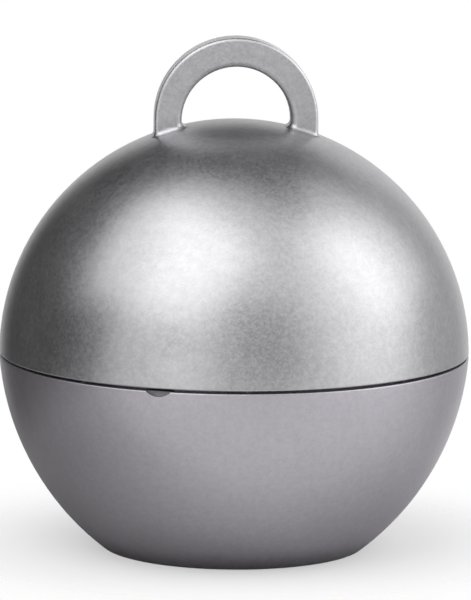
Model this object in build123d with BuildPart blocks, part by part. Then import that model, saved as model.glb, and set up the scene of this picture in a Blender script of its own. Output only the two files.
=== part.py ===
from build123d import *
import os
from math import hypot, sqrt

# Balloon weight: a flat-bottomed ball, moulded in two halves that plug together around a cast ballast.
# Millimetres, +Z up. The origin is the centre of the flat base, and the ribbon loop stands in the XZ plane.

# Outline of the ball: a true half ball above the seam, a flatter side running down to the base below it
ball_diameter = 40.0
seam_height = 16.5
base_diameter = 22.4
cup_side_radius = 23.0
base_edge_radius = 0.15

# Walls
dome_wall = 1.8
cup_wall = 2.0
cup_floor = 1.8
cup_corner_radius = 1.5

# Plug fit at the seam: the cup's spigot stands inside the dome's skirt and is gripped by crush ribs
seam_gap = 0.22
skirt_thickness = 0.95
spigot_height = 2.6
spigot_clearance = 0.25
rib_clearance = 0.05
rib_radius = 0.45
rib_count = 8
lead_in = 0.3
rim_edge_radius = 0.12

# Shallow recess under the base, with the moulding gate left in its middle
recess_diameter = 17.0
recess_depth = 0.5
recess_edge_radius = 0.2
gate_diameter = 2.4
gate_height = 0.3

# Nail nick below the seam, a half moon for prising the shells apart, turned from the front about +Z
nick_width = 2.2
nick_height = 0.45
nick_depth = 0.3
nick_turn = -21.7

# Ribbon loop on top of the dome: its inner bow is drawn from the pole and its outer bow from a little above it,
# so that the band is deepest at its crown. Its inner edges are well rounded, so that they don't cut a ribbon
loop_outer_radius = 6.93
loop_outer_rise = 0.18
loop_inner_radius = 4.64
loop_depth = 2.6
loop_edge_radius = 0.3
eye_edge_radius = 0.6
foot_radius = 0.5

# Ballast cast into the cup, a little short of the spigot's top
ballast_clearance = 0.1
ballast_drop = 0.8
ballast_edge_radius = 0.5

# How far a cut runs past the face that it opens, and how near an edge is to the size or height it is found by
overrun = 1.0
edge_tolerance = 0.001

# Heights and radii that the pieces share
ball_radius = ball_diameter / 2
base_radius = base_diameter / 2
pole_height = seam_height + ball_radius
rim_height = seam_height + seam_gap
plug_top = seam_height + spigot_height
skirt_bore_radius = ball_radius - skirt_thickness
spigot_radius = skirt_bore_radius - spigot_clearance
rib_crest_radius = skirt_bore_radius - rib_clearance
leg_bottom = seam_height + sqrt((ball_radius - dome_wall) ** 2 - loop_outer_radius**2)
ballast_top = plug_top - ballast_drop
ballast_inset = cup_wall + ballast_clearance
nick_radius = ((nick_width / 2) ** 2 + nick_height**2) / (2 * nick_height)

# Centre of the arc, in the XZ plane, that draws the cup's side from the base's rim to the seam
side_chord = hypot(ball_radius - base_radius, seam_height)
side_reach = sqrt(cup_side_radius**2 - (side_chord / 2) ** 2)
side_center_x = (ball_radius + base_radius) / 2 - side_reach * seam_height / side_chord
side_center_z = seam_height / 2 + side_reach * (ball_radius - base_radius) / side_chord


def dome_radius_at(height, inset=0):
    """Radius of the ball's upper half at a height, measured an inset below its surface."""
    return sqrt((ball_radius - inset) ** 2 - (height - seam_height) ** 2)


def cup_radius_at(height, inset=0):
    """Radius of the cup's side at a height, measured an inset below its surface."""
    return side_center_x + sqrt((cup_side_radius - inset) ** 2 - (height - side_center_z) ** 2)


def rim_circles(piece, height):
    """The round edges of a piece at a height, the smallest first."""
    circles = piece.edges().filter_by(GeomType.CIRCLE)
    level = circles.filter_by_position(Axis.Z, height - edge_tolerance, height + edge_tolerance)
    return level.sort_by(SortBy.RADIUS)


def bow_edges(piece, radius):
    """The round edges of a piece that have a radius."""
    circles = piece.edges().filter_by(GeomType.CIRCLE)
    return circles.filter_by(lambda edge: abs(edge.radius - radius) < edge_tolerance)


with BuildPart() as loop:
    with BuildSketch(Plane.XZ):
        with BuildLine():
            outer_bow = CenterArc((0, pole_height + loop_outer_rise), loop_outer_radius, 0, 180)
            inner_bow = CenterArc((0, pole_height), loop_inner_radius, 0, 180)
            for side, end in ((1, 0), (-1, 1)):
                Polyline(
                    outer_bow @ end,
                    (side * loop_outer_radius, leg_bottom),
                    (side * loop_inner_radius, leg_bottom),
                    inner_bow @ end,
                )
        make_face()
    extrude(amount=loop_depth / 2, both=True)
    fillet(bow_edges(loop, loop_outer_radius), loop_edge_radius)
    fillet(bow_edges(loop, loop_inner_radius), eye_edge_radius)

with BuildPart() as dome:
    # Solid half ball, with the loop's feet running into it through a small round
    with BuildSketch(Plane.XZ):
        with BuildLine():
            rim_line = Line((0, rim_height), (dome_radius_at(rim_height), rim_height))
            crown = RadiusArc(rim_line @ 1, (0, pole_height), -ball_radius)
            Line(crown @ 1, rim_line @ 0)
        make_face()
    revolve(axis=Axis.Z)
    add(loop.part)
    fillet(dome.edges(Select.NEW), foot_radius)

    # Hollow, with a straight bore in the skirt and a flat step that lands on the spigot
    with BuildSketch(Plane.XZ):
        with BuildLine():
            mouth = Polyline(
                (0, rim_height - overrun),
                (skirt_bore_radius, rim_height - overrun),
                (skirt_bore_radius, plug_top),
                (dome_radius_at(plug_top, dome_wall), plug_top),
            )
            vault = RadiusArc(mouth @ 1, (0, pole_height - dome_wall), -(ball_radius - dome_wall))
            Line(vault @ 1, mouth @ 0)
        make_face()
    revolve(axis=Axis.Z, mode=Mode.SUBTRACT)
    fillet(rim_circles(dome, rim_height)[-1], rim_edge_radius)
    chamfer(rim_circles(dome, rim_height)[0], lead_in)

with BuildPart() as cup:
    # Solid cup with its spigot
    with BuildSketch(Plane.XZ):
        with BuildLine():
            base_line = Line((0, 0), (base_radius, 0))
            side_arc = RadiusArc(base_line @ 1, (ball_radius, seam_height), -cup_side_radius)
            plug = Polyline(
                side_arc @ 1,
                (spigot_radius, seam_height),
                (spigot_radius, plug_top),
                (0, plug_top),
            )
            Line(plug @ 1, base_line @ 0)
        make_face()
    revolve(axis=Axis.Z)
    fillet(rim_circles(cup, 0)[-1], base_edge_radius)
    fillet(rim_circles(cup, seam_height)[-1], rim_edge_radius)
    chamfer(rim_circles(cup, plug_top)[-1], lead_in)

    # Crush ribs round the spigot, which stop short of its lead-in
    with BuildSketch(Plane.XY.offset(seam_height)):
        with PolarLocations(rib_crest_radius - rib_radius, rib_count):
            Circle(rib_radius)
    extrude(amount=spigot_height - lead_in)

    # Nail nick, cut square into the rim from outside
    facing = Vector(0, -1, 0).rotate(Axis.Z, nick_turn)
    across = Vector(1, 0, 0).rotate(Axis.Z, nick_turn)
    nick_floor = Vector(0, 0, seam_height) + facing * (ball_radius - nick_depth)
    with BuildSketch(Plane(nick_floor, x_dir=across, z_dir=facing)):
        with Locations((0, nick_radius - nick_height)):
            Circle(nick_radius)
    extrude(amount=nick_depth + overrun, mode=Mode.SUBTRACT)

    # Hollow for the ballast
    with BuildSketch(Plane.XZ):
        with BuildLine():
            floor_line = Line((0, cup_floor), (cup_radius_at(cup_floor, cup_wall), cup_floor))
            bowl_top = (cup_radius_at(seam_height, cup_wall), seam_height)
            bowl = RadiusArc(floor_line @ 1, bowl_top, -(cup_side_radius - cup_wall))
            Polyline(
                bowl @ 1,
                (cup_radius_at(seam_height, cup_wall), plug_top + overrun),
                (0, plug_top + overrun),
                floor_line @ 0,
            )
        make_face()
    revolve(axis=Axis.Z, mode=Mode.SUBTRACT)
    fillet(rim_circles(cup, cup_floor)[-1], cup_corner_radius)

    # Recess under the base, and the gate mark that stands in it
    with BuildSketch(Plane.XY.offset(recess_depth)):
        Circle(recess_diameter / 2)
    extrude(amount=-recess_depth - overrun, mode=Mode.SUBTRACT)
    fillet(rim_circles(cup, 0)[0], recess_edge_radius)
    with BuildSketch(Plane.XY.offset(recess_depth)):
        Circle(gate_diameter / 2)
    extrude(amount=-gate_height)

with BuildPart() as ballast:
    with BuildSketch(Plane.XZ):
        with BuildLine():
            foot_line = Line((0, cup_floor), (cup_radius_at(cup_floor, ballast_inset), cup_floor))
            flank_top = (cup_radius_at(seam_height, ballast_inset), seam_height)
            flank = RadiusArc(foot_line @ 1, flank_top, -(cup_side_radius - ballast_inset))
            Polyline(
                flank @ 1,
                (cup_radius_at(seam_height, ballast_inset), ballast_top),
                (0, ballast_top),
                foot_line @ 0,
            )
        make_face()
    revolve(axis=Axis.Z)
    fillet(rim_circles(ballast, cup_floor)[-1], cup_corner_radius + ballast_clearance)
    fillet(rim_circles(ballast, ballast_top)[-1], ballast_edge_radius)

dome.part.label = "dome"
cup.part.label = "cup"
ballast.part.label = "ballast"

os.makedirs("parts", exist_ok=True)
export_step(dome.part, "parts/dome.step")
export_step(cup.part, "parts/cup.step")
export_step(ballast.part, "parts/ballast.step")
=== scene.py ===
"""Looks of a balloon weight: a satin silver ball on a flat base, with a ribbon loop and a cast ballast.

Lengths are metres in the part's own frame: +Z is up, the origin is the centre of the flat base, and the
ribbon loop stands in the XZ plane. Softboxes and a few dark cards stand round the ball, as in a small
photo studio.
"""

import logging
import math
from collections.abc import Callable
from dataclasses import dataclass
from enum import Enum

import bmesh
import bpy
from mathutils import Matrix, Vector


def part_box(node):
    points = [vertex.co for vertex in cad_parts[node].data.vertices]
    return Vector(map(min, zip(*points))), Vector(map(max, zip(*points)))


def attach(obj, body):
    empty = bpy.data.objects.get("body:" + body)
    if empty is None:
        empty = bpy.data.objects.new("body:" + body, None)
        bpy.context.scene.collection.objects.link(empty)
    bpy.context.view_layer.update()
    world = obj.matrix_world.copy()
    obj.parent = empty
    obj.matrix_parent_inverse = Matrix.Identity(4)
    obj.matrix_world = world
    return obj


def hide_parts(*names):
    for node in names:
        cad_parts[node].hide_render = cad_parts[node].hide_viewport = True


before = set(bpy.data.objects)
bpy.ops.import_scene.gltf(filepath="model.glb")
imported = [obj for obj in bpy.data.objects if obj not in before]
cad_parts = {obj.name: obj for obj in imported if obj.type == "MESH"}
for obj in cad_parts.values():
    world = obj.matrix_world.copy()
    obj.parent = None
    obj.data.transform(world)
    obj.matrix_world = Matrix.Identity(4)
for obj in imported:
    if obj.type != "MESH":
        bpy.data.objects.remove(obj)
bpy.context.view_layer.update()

LOG = logging.getLogger("balloon_weight")
MM = 0.001
Colour = tuple[float, float, float]
Factors = tuple[float, float, float]
Socket = bpy.types.NodeSocket
Inputs = dict[str | int, object]
MeshParts = list[bmesh.types.BMEdge] | list[bmesh.types.BMFace]


class Step(Enum):
    """The arithmetic that the node trees use."""

    ADD = "ADD"
    MULTIPLY = "MULTIPLY"
    SCALE_AND_SHIFT = "MULTIPLY_ADD"
    LARGER = "MAXIMUM"


def polar(azimuth: float, elevation: float) -> Vector:
    """A direction seen from the ball.

    Args:
        azimuth: degrees from the front (-Y), positive towards +X.
        elevation: degrees above the horizon.

    Returns:
        The unit vector from the ball towards that direction.
    """
    turn, rise = math.radians(azimuth), math.radians(elevation)
    flat = math.cos(rise)
    return Vector((math.sin(turn) * flat, -math.cos(turn) * flat, math.sin(rise)))


class NodeSketch:
    """A node tree of a material or a world, with short calls for the nodes that this scene uses."""

    def __init__(self, owner: bpy.types.Material | bpy.types.World, output: str) -> None:
        """Empties the owner's node tree and starts it with an output node.

        Args:
            owner: the material or world.
            output: the output node's type name, without the ShaderNode that starts it.
        """
        owner.use_nodes = True
        self.owner = owner
        self.tree = owner.node_tree
        self.tree.nodes.clear()
        self.output = self.add(output)

    @classmethod
    def for_material(cls, name: str) -> "NodeSketch":
        """Starts a new material of this name."""
        return cls(bpy.data.materials.new(name), "OutputMaterial")

    @classmethod
    def for_world(cls, name: str) -> "NodeSketch":
        """Starts a new world of this name."""
        return cls(bpy.data.worlds.new(name), "OutputWorld")

    def add(self, kind: str, inputs: Inputs | None = None, **settings: object) -> bpy.types.Node:
        """Adds a node, sets its properties and fills its sockets.

        Args:
            kind: the node's type name, without the ShaderNode that starts it.
            inputs: socket name or number to a value, or to the socket that feeds it.
            settings: the node's own properties.

        Returns:
            The new node.
        """
        node = self.tree.nodes.new("ShaderNode" + kind)
        for key, value in settings.items():
            setattr(node, key, value)
        for key, value in (inputs or {}).items():
            if isinstance(value, Socket):
                self.tree.links.new(value, node.inputs[key])
            else:
                node.inputs[key].default_value = value
        return node

    def place(self) -> Socket:
        """Returns the point on the piece, in metres in the part's frame."""
        return self.add("TexCoord").outputs["Object"]

    def stretched(self, scale: Factors) -> Socket:
        """Returns the point on the piece with each axis scaled by its own factor."""
        return self.add("Mapping", {"Vector": self.place(), "Scale": scale}).outputs["Vector"]

    def height(self) -> Socket:
        """Returns how high the point is over the floor."""
        return self.add("SeparateXYZ", {"Vector": self.place()}).outputs["Z"]

    def reach(self, scale: Factors) -> Socket:
        """Returns how far the point is from the origin, with each axis scaled by its own factor."""
        return self.add("VectorMath", {0: self.stretched(scale)}, operation="LENGTH").outputs["Value"]

    def from_axis(self) -> Socket:
        """Returns how far the point is from the ball's upright axis."""
        return self.reach((1, 1, 0))

    def from_spot(self, spot: Vector, point: Socket | None = None) -> Socket:
        """How far a point is from a spot in the part's frame.

        Args:
            spot: the spot.
            point: the point, or None for the point on the piece.

        Returns:
            The value socket.
        """
        ends = {0: point or self.place(), 1: spot}
        return self.add("VectorMath", ends, operation="DISTANCE").outputs["Value"]

    def from_middle(self) -> Socket:
        """Returns how far the point is from a flat card's middle, with 1 at the middle of each side."""
        spread = self.add("TexCoord").outputs["UV"]
        centred = self.add("Mapping", {"Vector": spread, "Location": (-1, -1, 0), "Scale": (2, 2, 0)})
        return self.add("VectorMath", {0: centred.outputs["Vector"]}, operation="LENGTH").outputs["Value"]

    def math(
        self, step: Step, first: Socket | float, second: Socket | float, third: float = 0.0
    ) -> Socket:
        """One arithmetic step.

        Args:
            step: what is done.
            first: a value or socket.
            second: a value or socket.
            third: a value that only some steps use.

        Returns:
            The value socket.
        """
        return self.add("Math", {0: first, 1: second, 2: third}, operation=step.value).outputs["Value"]

    def ramp(
        self, value: Socket, low: float, high: float, start: Socket | float = 0.0, end: float = 1.0
    ) -> Socket:
        """Maps a value smoothly from one range to another and holds it there.

        Args:
            value: the socket to map.
            low: where the ramp starts.
            high: where the ramp ends.
            start: the result at and below low, or the socket that gives it.
            end: the result at and above high.

        Returns:
            The value socket.
        """
        sockets = {"Value": value, "From Min": low, "From Max": high, "To Min": start, "To Max": end}
        return self.add("MapRange", sockets, interpolation_type="SMOOTHSTEP").outputs["Result"]

    def swing(self, value: Socket, spread: float) -> Socket:
        """A pattern's value, shifted to swing about zero.

        Args:
            value: the pattern, from 0 to 1.
            spread: the whole swing.

        Returns:
            The value socket.
        """
        return self.math(Step.SCALE_AND_SHIFT, value, spread, -spread / 2)

    def total(self, first: float, *others: Socket) -> Socket:
        """The sum of several values.

        Args:
            first: the value to start from.
            others: the sockets to add to it.

        Returns:
            The value socket.
        """
        result: Socket | float = first
        for other in others:
            result = self.math(Step.ADD, other, result)
        return result

    def noise(self, size: float, detail: float = 2.0, scale: Factors = (1, 1, 1)) -> Socket:
        """Soft noise of a real feature size.

        Args:
            size: the size of a feature, in metres.
            detail: how many finer layers are added.
            scale: factors that draw the pattern out along an axis.

        Returns:
            The value socket, about 0.5 on average.
        """
        sockets = {"Vector": self.stretched(scale), "Scale": 1 / size, "Detail": detail}
        return self.add("TexNoise", sockets).outputs["Fac"]

    def cells(self, size: float) -> Socket:
        """A random value for each small cell of a real size, as of flakes in a plastic.

        Args:
            size: the size of a cell, in metres.

        Returns:
            The value socket, from 0 to 1.
        """
        voronoi = self.add("TexVoronoi", {"Vector": self.place(), "Scale": 1 / size})
        return self.add("SeparateColor", {"Color": voronoi.outputs["Color"]}).outputs["Red"]

    def tint(self, tone: Colour, gain: Socket) -> Socket:
        """A colour made lighter or darker by a value.

        Args:
            tone: the colour.
            gain: the factor.

        Returns:
            The colour socket.
        """
        return self.add("VectorMath", {0: tone, "Scale": gain}, operation="SCALE").outputs["Vector"]

    def finish(self, shader: bpy.types.Node) -> bpy.types.Material | bpy.types.World:
        """Joins the surface shader to the output and returns the material or world."""
        self.tree.links.new(shader.outputs[0], self.output.inputs["Surface"])
        return self.owner


@dataclass(frozen=True)
class Patch:
    """A place on a piece where its finish changes."""

    mask: Socket
    paler: float
    rougher: float


@dataclass(frozen=True)
class SatinSilver:
    """Plastic coloured through with metal flakes, with the satin face that a blasted mould leaves."""

    name: str
    tone: Colour
    roughness: float
    streak_contrast: float
    flake_contrast: float
    mottle_contrast: float
    metal: float = 0.96
    flake_size: float = 0.16 * MM
    flake_rough_share: float = 0.5
    mottle_size: float = 0.55 * MM
    cloud_size: float = 5.0 * MM
    cloud_contrast: float = 0.10
    cloud_detail: float = 3.0
    streak_size: float = 0.25 * MM
    streak_detail: float = 3.0
    streak_run: float = 0.02
    grain_size: float = 0.16 * MM
    grain_depth: float = 0.004 * MM
    peel_size: float = 1.3 * MM
    peel_depth: float = 0.006 * MM

    def material(self, sketch: NodeSketch, patches: list[Patch]) -> bpy.types.Material:
        """Builds the node material of this finish.

        Args:
            sketch: the node tree that the patches' masks are in.
            patches: the places where the finish changes.

        Returns:
            The material.
        """
        flakes = sketch.cells(self.flake_size)
        mottle = sketch.noise(self.mottle_size)
        clouds = sketch.noise(self.cloud_size, self.cloud_detail)
        drawn_out = (self.streak_run, self.streak_run, 1)
        streaks = sketch.noise(self.streak_size, self.streak_detail, drawn_out)
        gain = sketch.total(
            1.0,
            sketch.swing(flakes, self.flake_contrast),
            sketch.swing(mottle, self.mottle_contrast),
            sketch.swing(clouds, self.cloud_contrast),
            sketch.swing(streaks, self.streak_contrast),
            *(sketch.math(Step.MULTIPLY, patch.mask, patch.paler) for patch in patches),
        )
        rough = sketch.total(
            self.roughness,
            sketch.swing(clouds, self.cloud_contrast),
            sketch.swing(flakes, self.flake_contrast * self.flake_rough_share),
            *(sketch.math(Step.MULTIPLY, patch.mask, patch.rougher) for patch in patches),
        )
        sockets = {
            "Base Color": sketch.tint(self.tone, gain),
            "Metallic": self.metal,
            "Roughness": rough,
            "Normal": self.skin(sketch),
        }
        return sketch.finish(sketch.add("BsdfPrincipled", sockets))

    def skin(self, sketch: NodeSketch) -> Socket:
        """The relief of the moulded face: a fine blasted grain over a shallow orange peel.

        Args:
            sketch: the node tree.

        Returns:
            The normal socket.
        """
        peel = sketch.add("Bump", {"Height": sketch.noise(self.peel_size), "Distance": self.peel_depth})
        grain = {
            "Height": sketch.noise(self.grain_size),
            "Distance": self.grain_depth,
            "Normal": peel.outputs["Normal"],
        }
        return sketch.add("Bump", grain).outputs["Normal"]


@dataclass(frozen=True)
class CastMortar:
    """Sandy mortar, poured and left as it set."""

    name: str = "cast_mortar"
    tone: Colour = (0.30, 0.29, 0.27)
    sand_size: float = 0.35 * MM
    sand_contrast: float = 0.5
    sand_detail: float = 3.0
    cloud_size: float = 4.0 * MM
    cloud_contrast: float = 0.4
    cloud_detail: float = 4.0
    roughness: float = 0.88
    roughness_swing: float = 0.15
    relief: float = 0.05 * MM

    def material(self) -> bpy.types.Material:
        """Builds the node material of this finish.

        Returns:
            The material.
        """
        sketch = NodeSketch.for_material(self.name)
        clouds = sketch.noise(self.cloud_size, self.cloud_detail)
        gain = sketch.total(
            1.0,
            sketch.swing(sketch.cells(self.sand_size), self.sand_contrast),
            sketch.swing(clouds, self.cloud_contrast),
        )
        grit = sketch.noise(self.sand_size, self.sand_detail)
        bump = sketch.add("Bump", {"Height": grit, "Distance": self.relief})
        sockets = {
            "Base Color": sketch.tint(self.tone, gain),
            "Roughness": sketch.total(self.roughness, sketch.swing(clouds, self.roughness_swing)),
            "Normal": bump.outputs["Normal"],
        }
        return sketch.finish(sketch.add("BsdfPrincipled", sockets))


@dataclass(frozen=True)
class Ball:
    """The shape that both shells share: a half ball over the seam, and an arc down to the flat base."""

    radius: float = 20.0 * MM
    seam_height: float = 16.5 * MM
    base_radius: float = 11.2 * MM
    side_radius: float = 23.0 * MM

    def centre(self) -> Vector:
        """Returns the middle of the ball, level with the seam."""
        return Vector((0, 0, self.seam_height))

    def cup_radius_at(self, height: float, inset: float) -> float:
        """How wide the cup is.

        Args:
            height: the height over the floor.
            inset: how far below the cup's surface the radius is taken.

        Returns:
            The radius there.
        """
        run = self.radius - self.base_radius
        chord = math.hypot(run, self.seam_height)
        reach = math.sqrt(self.side_radius**2 - (chord / 2) ** 2)
        middle = (self.radius + self.base_radius) / 2 - reach * self.seam_height / chord
        middle_height = self.seam_height / 2 + reach * run / chord
        return middle + math.sqrt((self.side_radius - inset) ** 2 - (height - middle_height) ** 2)


@dataclass(frozen=True)
class Dome:
    """The upper shell, with the ribbon loop moulded in one piece with it."""

    ball: Ball
    finish: SatinSilver
    blur: float = 0.2 * MM
    inside_depth: float = 0.5 * MM
    loop_foot: float = 0.6 * MM
    loop_paler: float = 0.06
    loop_rougher: float = 0.10
    bow_radius: float = 6.6 * MM
    bow_half_depth: float = 1.3 * MM
    # painted highlight: the bow is painted paler to stand in for its bright reflection
    bow_painted_highlight: float = 0.5
    bow_rougher: float = -0.06
    inside_paler: float = -0.06
    inside_rougher: float = 0.10

    def dress(self) -> bpy.types.Object:
        """Gives the shell its finish, plainer inside, a little paler on the loop and painted paler on the
        loop's outer bow as a painted highlight.

        Returns:
            The shell's object.
        """
        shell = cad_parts["dome"]
        sketch = NodeSketch.for_material(self.finish.name)
        reach = sketch.from_spot(self.ball.centre())
        skin, inner = self.ball.radius, self.ball.radius - self.inside_depth
        loop = sketch.ramp(reach, skin + self.blur, skin + self.loop_foot)
        inside = sketch.ramp(reach, inner - self.blur, inner + self.blur, 1.0, 0.0)
        patches = [
            Patch(loop, self.loop_paler, self.loop_rougher),
            # painted highlight on the loop's outer bow
            self.bow(sketch, loop),
            Patch(inside, self.inside_paler, self.inside_rougher),
        ]
        shell.material_slots[0].material = self.finish.material(sketch, patches)
        return shell

    def bow(self, sketch: NodeSketch, loop: Socket) -> Patch:
        """The loop's outer bow, painted paler from edge to edge as a painted highlight.

        Args:
            sketch: the node tree.
            loop: the mask of the whole loop.

        Returns:
            The patch of the painted highlight on the bow's wall and its rounded edges.
        """
        pole = self.ball.centre() + Vector((0, 0, self.ball.radius))
        across = sketch.from_spot(pole, sketch.stretched((1, 0, 1)))
        outer = sketch.ramp(across, self.bow_radius, self.bow_radius + self.blur)
        half = self.bow_half_depth
        wall = sketch.ramp(sketch.reach((0, 1, 0)), half - self.blur, half, 1.0, 0.0)
        mask = sketch.math(Step.MULTIPLY, loop, sketch.math(Step.MULTIPLY, outer, wall))
        return Patch(mask, self.bow_painted_highlight, self.bow_rougher)


@dataclass(frozen=True)
class Cup:
    """The lower shell, from the seam's spigot down to the ring that it stands on."""

    ball: Ball
    finish: SatinSilver
    plug_blur: float = 0.1 * MM
    ring_blur: float = 2.2 * MM
    nick_turn: float = -21.7
    nick_reach: float = 1.3 * MM
    nick_floor: float = 19.7 * MM
    nick_blur: float = 0.06 * MM
    nick_height: float = 0.45 * MM
    nick_low_share: float = 0.75
    plug_paler: float = -0.04
    plug_rougher: float = -0.06
    # scuffs on the ring, and painted shade that darkens the lowest part of the cup
    ring_scuff_and_shade_paler: float = -0.36
    ring_rougher: float = 0.08
    # painted shade on the nick's floor
    nick_painted_shade: float = -0.62
    nick_rougher: float = 0.15

    def dress(self) -> bpy.types.Object:
        """Gives the shell its finish: rubbed on the spigot, scuffed on the ring and darkened towards the
        bottom by painted shade, and rougher in the nick with painted shade on its floor.

        Returns:
            The shell's object.
        """
        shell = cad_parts["cup"]
        sketch = NodeSketch.for_material(self.finish.name)
        height = sketch.height()
        seam = self.ball.seam_height
        plug = sketch.ramp(height, seam, seam + self.plug_blur)
        # darker towards the bottom: scuffs on the ring it stands on, and painted shade near the floor
        ring = sketch.ramp(height, 0.0, self.ring_blur, 1.0, 0.0)
        patches = [
            Patch(plug, self.plug_paler, self.plug_rougher),
            Patch(ring, self.ring_scuff_and_shade_paler, self.ring_rougher),
            # painted shade and a rougher finish in the nick
            Patch(self.nick(sketch), self.nick_painted_shade, self.nick_rougher),
        ]
        shell.material_slots[0].material = self.finish.material(sketch, patches)
        return shell

    def nick(self, sketch: NodeSketch) -> Socket:
        """The painted shade on the floor of the nail nick in the rim.

        Args:
            sketch: the node tree.

        Returns:
            The mask of the painted shade and the rougher finish: 1 on the nick's floor at the seam, less
            towards its foot, and 0 on the face round it.
        """
        spot = self.ball.centre() + polar(self.nick_turn, 0) * self.nick_floor
        far = self.nick_reach + self.nick_blur
        near = sketch.ramp(sketch.from_spot(spot), self.nick_reach, far, 1.0, 0.0)
        edge = self.nick_floor + self.nick_blur
        sunk = sketch.ramp(sketch.from_axis(), edge, edge + self.nick_blur, 1.0, 0.0)
        seam = self.ball.seam_height
        # painted shade, strongest at the seam and less towards the nick's foot
        shade = sketch.ramp(sketch.height(), seam - self.nick_height, seam, self.nick_low_share, 1.0)
        return sketch.math(Step.MULTIPLY, shade, sketch.math(Step.MULTIPLY, near, sunk))


@dataclass(frozen=True)
class Ballast:
    """The mortar slug that was cast into the cup, and fills it to just under the spigot's top."""

    ball: Ball
    finish: CastMortar
    inset: float = 2.1 * MM
    sides: int = 96
    flank_rings: int = 7
    foot_round: float = 1.6 * MM
    rim_round: float = 0.5 * MM
    round_steps: int = 3
    level_tolerance: float = 0.02 * MM
    upward_cosine: float = 0.9
    top_rings: int = 8
    dish_depth: float = 0.5 * MM
    refine: int = 2
    lump_size: float = 3.0 * MM
    lump_depth: float = 0.3 * MM
    smooth_angle: float = 40.0

    def build(self) -> bpy.types.Object:
        """Models the slug, dresses it and lets it stand for the plain one.

        Returns:
            The new piece.
        """
        foot, top = (corner.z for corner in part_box("ballast"))
        piece = self.cast(foot, top)
        self.roughen(piece, top)
        piece.data.materials.append(self.finish.material())
        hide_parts("ballast")
        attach(piece, "cup")
        return piece

    def cast(self, foot: float, top: float) -> bpy.types.Object:
        """Models the slug's outline: rings up the bowl's side, rounded rims and a dished top.

        Args:
            foot: the height of its underside.
            top: the height of its rim.

        Returns:
            The new piece, in object mode.
        """
        radius = self.ball.cup_radius_at(foot, self.inset)
        bpy.ops.object.select_all(action="DESELECT")
        bpy.ops.mesh.primitive_circle_add(
            vertices=self.sides, radius=radius, fill_type="NGON", location=(0, 0, foot)
        )
        piece = bpy.context.active_object
        piece.name = "cast_ballast"
        bpy.ops.object.transform_apply(location=True, rotation=True, scale=True)
        bpy.ops.object.mode_set(mode="EDIT")
        bpy.ops.mesh.select_all(action="SELECT")
        rise = (self.ball.seam_height - foot) / self.flank_rings
        for ring in range(1, self.flank_rings + 1):
            radius = self.raise_ring(radius, foot + ring * rise, rise)
        self.raise_ring(radius, self.ball.seam_height, top - self.ball.seam_height)
        self.round_rim(piece, foot, self.foot_round)
        self.round_rim(piece, top, self.rim_round)
        self.dish(piece, top)
        bpy.ops.mesh.select_all(action="SELECT")
        bpy.ops.mesh.normals_make_consistent(inside=False)
        bpy.ops.object.mode_set(mode="OBJECT")
        return piece

    def raise_ring(self, radius: float, height: float, rise: float) -> float:
        """Extrudes the selected top upwards and sizes it to the bowl.

        Args:
            radius: the radius of the ring below.
            height: the height at which the new ring's radius is taken.
            rise: how far the new ring is above the ring below.

        Returns:
            The radius of the new ring.
        """
        wider = self.ball.cup_radius_at(height, self.inset)
        bpy.ops.mesh.extrude_region_move(TRANSFORM_OT_translate={"value": (0, 0, rise)})
        bpy.ops.transform.resize(value=(wider / radius, wider / radius, 1))
        return wider

    def round_rim(self, piece: bpy.types.Object, height: float, size: float) -> None:
        """Rounds the rim at a height.

        Args:
            piece: the slug, in edit mode.
            height: the rim's height.
            size: the radius of the round.
        """

        def level(edge: bmesh.types.BMEdge) -> bool:
            """Says whether both ends of an edge lie at the rim's height."""
            return all(abs(end.co.z - height) < self.level_tolerance for end in edge.verts)

        self.pick(piece, lambda mesh: [edge for edge in mesh.edges if level(edge)])
        bpy.ops.mesh.bevel(offset=size, segments=self.round_steps, affect="EDGES")

    def dish(self, piece: bpy.types.Object, top: float) -> None:
        """Insets the top in rings that sink towards its middle, and closes it with a fan.

        Args:
            piece: the slug, in edit mode.
            top: the height of its rim.
        """
        step = self.ball.cup_radius_at(self.ball.seam_height, self.inset) / (self.top_rings + 1)

        def upper(face: bmesh.types.BMFace) -> bool:
            """Says whether a face looks up, and is near the rim's height."""
            return face.normal.z > self.upward_cosine and face.calc_center_median().z > top - step

        self.pick(piece, lambda mesh: [face for face in mesh.faces if upper(face)])
        for ring in range(self.top_rings):
            outer_share = 1 - ring / self.top_rings
            inner_share = 1 - (ring + 1) / self.top_rings
            bpy.ops.mesh.inset(thickness=step)
            bpy.ops.transform.translate(value=(0, 0, self.dish_depth * (inner_share**2 - outer_share**2)))
        bpy.ops.mesh.poke()

    def roughen(self, piece: bpy.types.Object, top: float) -> None:
        """Refines the mesh and gives its top the lumps of mortar that set as it was poured.

        Args:
            piece: the slug, in object mode.
            top: the height of its rim.
        """
        lumps = bpy.data.textures.new("mortar_lumps", "CLOUDS")
        lumps.noise_scale = self.lump_size
        refine = piece.modifiers.new("refine", "SUBSURF")
        refine.subdivision_type = "SIMPLE"
        refine.levels = refine.render_levels = self.refine
        bpy.ops.object.modifier_apply(modifier=refine.name)
        surface = piece.vertex_groups.new(name="top")
        high = [vertex.index for vertex in piece.data.vertices if vertex.co.z > top - self.rim_round]
        surface.add(high, 1.0, "REPLACE")
        rough = piece.modifiers.new("lumps", "DISPLACE")
        rough.texture = lumps
        rough.texture_coords = "LOCAL"
        rough.direction = "Z"
        rough.strength = self.lump_depth
        rough.mid_level = 1.0
        rough.vertex_group = surface.name
        bpy.ops.object.modifier_apply(modifier=rough.name)
        bpy.ops.object.shade_smooth_by_angle(angle=math.radians(self.smooth_angle))

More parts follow.
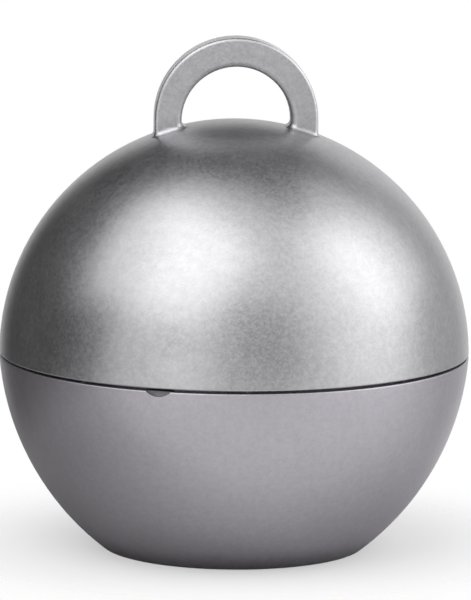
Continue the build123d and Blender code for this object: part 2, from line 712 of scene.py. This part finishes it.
    @staticmethod
    def pick(piece: bpy.types.Object, choose: Callable[[bmesh.types.BMesh], MeshParts]) -> None:
        """Selects the edges or faces that are wanted, and nothing else.

        Args:
            piece: the object in edit mode.
            choose: gives the wanted edges or faces of its mesh.
        """
        bpy.ops.mesh.select_all(action="DESELECT")
        mesh = bmesh.from_edit_mesh(piece.data)
        for wanted in choose(mesh):
            wanted.select_set(True)
        bmesh.update_edit_mesh(piece.data)


@dataclass(frozen=True)
class PhotoCamera:
    """The camera at the photograph's viewing angle, for a picture of 471 by 600."""

    ball: Ball
    distance_in_radii: float = 24.0
    azimuth: float = -3.6
    elevation: float = 9.75
    roll: float = 0.45
    focal_pixels: float = 5630.0
    picture_size: tuple[int, int] = (471, 600)
    ball_pixel: tuple[float, float] = (234.0, 353.0)
    sensor: float = 36.0
    near_in_radii: float = 0.1
    far_in_radii: float = 1000.0

    def build(self) -> bpy.types.Object:
        """Creates the camera and makes it the scene's own.

        Returns:
            The camera object.
        """
        data = bpy.data.cameras.new("photo_camera")
        data.sensor_width = self.sensor
        data.lens = self.focal_pixels / max(self.picture_size) * self.sensor
        data.clip_start = self.ball.radius * self.near_in_radii
        data.clip_end = self.ball.radius * self.far_in_radii
        camera = bpy.data.objects.new("photo_camera", data)
        bpy.context.scene.collection.objects.link(camera)
        back = polar(self.azimuth, self.elevation)
        aim = (-back).to_track_quat("-Z", "Y").to_matrix()
        right_px = self.ball_pixel[0] - self.picture_size[0] / 2
        down_px = self.ball_pixel[1] - self.picture_size[1] / 2
        yaw = Matrix.Rotation(math.atan2(right_px, self.focal_pixels), 3, "Y")
        pitch = Matrix.Rotation(math.atan2(down_px, self.focal_pixels), 3, "X")
        tilt = Matrix.Rotation(math.radians(self.roll), 3, "Z")
        spot = self.ball.centre() + back * (self.distance_in_radii * self.ball.radius)
        camera.matrix_world = Matrix.Translation(spot) @ (aim @ tilt @ yaw @ pitch).to_4x4()
        bpy.context.scene.camera = camera
        return camera


@dataclass(frozen=True)
class Softbox:
    """A rectangular soft light that faces the ball."""

    name: str
    azimuth: float
    elevation: float
    width: float
    height: float
    radiance: float
    distance: float = 0.40
    watts_per_area: float = 4.0

    def build(self, target: Vector) -> bpy.types.Object:
        """Creates the light.

        Args:
            target: the point that it faces.

        Returns:
            The light object.
        """
        data = bpy.data.lights.new(self.name, "AREA")
        data.shape = "RECTANGLE"
        data.size, data.size_y = self.width, self.height
        data.energy = self.radiance * self.watts_per_area * self.width * self.height
        lamp = bpy.data.objects.new(self.name, data)
        bpy.context.scene.collection.objects.link(lamp)
        outward = polar(self.azimuth, self.elevation)
        lamp.location = target + outward * self.distance
        lamp.rotation_mode = "QUATERNION"
        lamp.rotation_quaternion = (-outward).to_track_quat("-Z", "Y")
        lamp.visible_camera = False
        return lamp


@dataclass(frozen=True)
class Card:
    """A dark card that shows only in reflections. A sheer one, a veil, fades towards its edges."""

    name: str
    azimuth: float
    elevation: float
    width: float
    height: float
    tone: float
    cover: float = 1.0
    distance: float = 0.55
    aside: tuple[float, float] = (0.0, 0.0)
    fade: float = 0.0

    def build(self, target: Vector) -> bpy.types.Object:
        """Creates the card.

        Args:
            target: the point that it stands off.

        Returns:
            The card object.
        """
        outward = polar(self.azimuth, self.elevation)
        facing = outward.to_track_quat("Z", "Y").to_matrix().to_4x4()
        bpy.ops.object.select_all(action="DESELECT")
        bpy.ops.mesh.primitive_plane_add(size=1)
        card = bpy.context.active_object
        card.name = self.name
        size = Matrix.Diagonal((self.width, self.height, 1, 1))
        spot = target + outward * self.distance + Vector((*self.aside, 0))
        card.data.transform(Matrix.Translation(spot) @ facing @ size)
        card.visible_camera = False
        card.visible_diffuse = False
        card.visible_shadow = False
        sketch = NodeSketch.for_material(self.name)
        clear = sketch.add("BsdfTransparent").outputs[0]
        paint = sketch.add("Emission", {"Strength": self.tone}).outputs[0]
        mix = sketch.add("MixShader", {"Fac": self.spread(sketch), 1: clear, 2: paint})
        card.data.materials.append(sketch.finish(mix))
        sketch.owner.cycles.emission_sampling = "NONE"
        return card

    def spread(self, sketch: NodeSketch) -> Socket | float:
        """How much the card hides of what lies behind it.

        Args:
            sketch: the node tree.

        Returns:
            One value for the whole card, or a socket that falls to 0 at the edges of a card that fades.
        """
        if not self.fade:
            return self.cover
        return sketch.ramp(sketch.from_middle(), 1 - self.fade, 1.0, self.cover, 0.0)


@dataclass(frozen=True)
class Studio:
    """White floor and surroundings, softboxes, the dark cards between them and two veils on the floor that
    paint shade into its reflection.
    """

    ball: Ball
    floor_sides: int = 96
    floor_solid: float = 14 * MM
    floor_edge: float = 34 * MM
    floor_drop: float = 0.02 * MM
    hole_blur: float = 0.2 * MM
    floor_lift: float = 0.45
    floor_tone: float = 0.86
    room_light: float = 0.6
    softboxes: tuple[Softbox, ...] = (
        Softbox("softbox_left", azimuth=-54, elevation=51, width=0.53, height=0.38, radiance=1.20),
        Softbox("softbox_right", azimuth=93, elevation=40, width=0.33, height=0.38, radiance=0.86),
        Softbox("softbox_low_left", azimuth=-29, elevation=0, width=0.13, height=0.07, radiance=0.82),
        Softbox("softbox_low_right", azimuth=67, elevation=20, width=0.31, height=0.47, radiance=0.54),
    )
    cards: tuple[Card, ...] = (
        Card("card_left", azimuth=-115, elevation=19, width=1.18, height=1.12, tone=0.055),
        Card("card_low_left", azimuth=-97, elevation=-60, width=0.78, height=1.80, tone=0.44),
        Card("card_top", azimuth=145, elevation=62, width=0.61, height=0.46, tone=0.01),
        Card("card_back", azimuth=-170, elevation=39, width=0.46, height=0.26, tone=0.0),
        Card("card_right", azimuth=123, elevation=9, width=0.48, height=0.73, tone=0.52),
        Card("card_front", azimuth=10, elevation=11, width=0.38, height=0.42, tone=0.47),
    )
    # dark sheets on the floor, seen only in reflections: painted shade of the floor that the cup mirrors
    # near its base
    veils: tuple[Card, ...] = (
        Card(
            "painted_shade_behind",
            azimuth=0,
            elevation=-90,
            width=70 * MM,
            height=130 * MM,
            tone=0.0,
            cover=0.65,
            distance=0.010 * MM,
            aside=(-15 * MM, 31 * MM),
            fade=0.7,
        ),
        Card(
            "painted_shade_below",
            azimuth=0,
            elevation=-90,
            width=110 * MM,
            height=56 * MM,
            tone=0.0,
            cover=0.33,
            distance=0.014 * MM,
            aside=(8 * MM, 0.0),
            fade=0.7,
        ),
    )

    def build(self) -> None:
        """Creates the floor, the surroundings, the lights, the cards and the veils."""
        self.build_floor()
        self.build_room()
        for softbox in self.softboxes:
            softbox.build(self.ball.centre())
        for card in self.cards:
            card.build(self.ball.centre())
        for veil in self.veils:
            veil.build(Vector())

    def build_floor(self) -> bpy.types.Object:
        """Lays the pale floor, which fades into the room and is clear from below and under the base.

        Returns:
            The floor object.
        """
        bpy.ops.object.select_all(action="DESELECT")
        bpy.ops.mesh.primitive_circle_add(
            vertices=self.floor_sides, radius=self.floor_edge, fill_type="NGON"
        )
        floor = bpy.context.active_object
        floor.name = "studio_floor"
        floor.data.transform(Matrix.Translation((0, 0, -self.floor_drop)))
        sketch = NodeSketch.for_material("studio_floor")
        shade = (self.floor_tone, self.floor_tone, self.floor_tone, 1)
        paper = sketch.add("BsdfDiffuse", {"Color": shade}).outputs[0]
        clear = sketch.add("BsdfTransparent").outputs[0]
        reach = sketch.from_axis()
        seen = sketch.add("LightPath").outputs["Is Camera Ray"]
        lift = sketch.math(Step.MULTIPLY, seen, self.floor_lift)
        fade = sketch.ramp(reach, self.floor_solid, self.floor_edge, lift, 1.0)
        hole_edge = self.ball.base_radius
        hole = sketch.ramp(reach, hole_edge - self.hole_blur, hole_edge, 1.0, 0.0)
        below = sketch.add("NewGeometry").outputs["Backfacing"]
        gone = sketch.math(Step.LARGER, hole, sketch.math(Step.LARGER, fade, below))
        mix = sketch.add("MixShader", {"Fac": gone, 1: paper, 2: clear})
        floor.data.materials.append(sketch.finish(mix))
        return floor

    def build_room(self) -> bpy.types.World:
        """Makes the surroundings: white to look at, and a plain even light on what they reach.

        Returns:
            The world.
        """
        sketch = NodeSketch.for_world("white_room")
        path = sketch.add("LightPath").outputs
        mirrored = sketch.math(Step.LARGER, path["Is Glossy Ray"], path["Is Transmission Ray"])
        seen = sketch.math(Step.LARGER, path["Is Camera Ray"], mirrored)
        strength = sketch.ramp(seen, 0.0, 1.0, self.room_light, 1.0)
        world = sketch.finish(sketch.add("Background", {"Color": (1, 1, 1, 1), "Strength": strength}))
        bpy.context.scene.world = world
        return world


def main() -> None:
    """Builds the studio and the pieces in order, and reports each piece."""
    logging.basicConfig(level=logging.INFO, format="%(message)s")
    bpy.context.scene.view_settings.view_transform = "Standard"
    ball = Ball()
    PhotoCamera(ball).build()
    Studio(ball).build()
    dome_silver = SatinSilver(
        "dome_silver",
        tone=(0.445, 0.44, 0.455),
        roughness=0.36,
        streak_contrast=0.05,
        flake_contrast=0.14,
        mottle_contrast=0.27,
    )
    cup_silver = SatinSilver(
        "cup_silver",
        tone=(0.44, 0.42, 0.455),
        roughness=0.42,
        streak_contrast=0.02,
        flake_contrast=0.08,
        mottle_contrast=0.18,
    )
    pieces = (
        Dome(ball, dome_silver).dress(),
        Cup(ball, cup_silver).dress(),
        Ballast(ball, CastMortar()).build(),
    )
    for piece in pieces:
        LOG.info("%s: %d faces, in %s", piece.name, len(piece.data.polygons), piece.active_material.name)


if __name__ == "__main__":
    main()
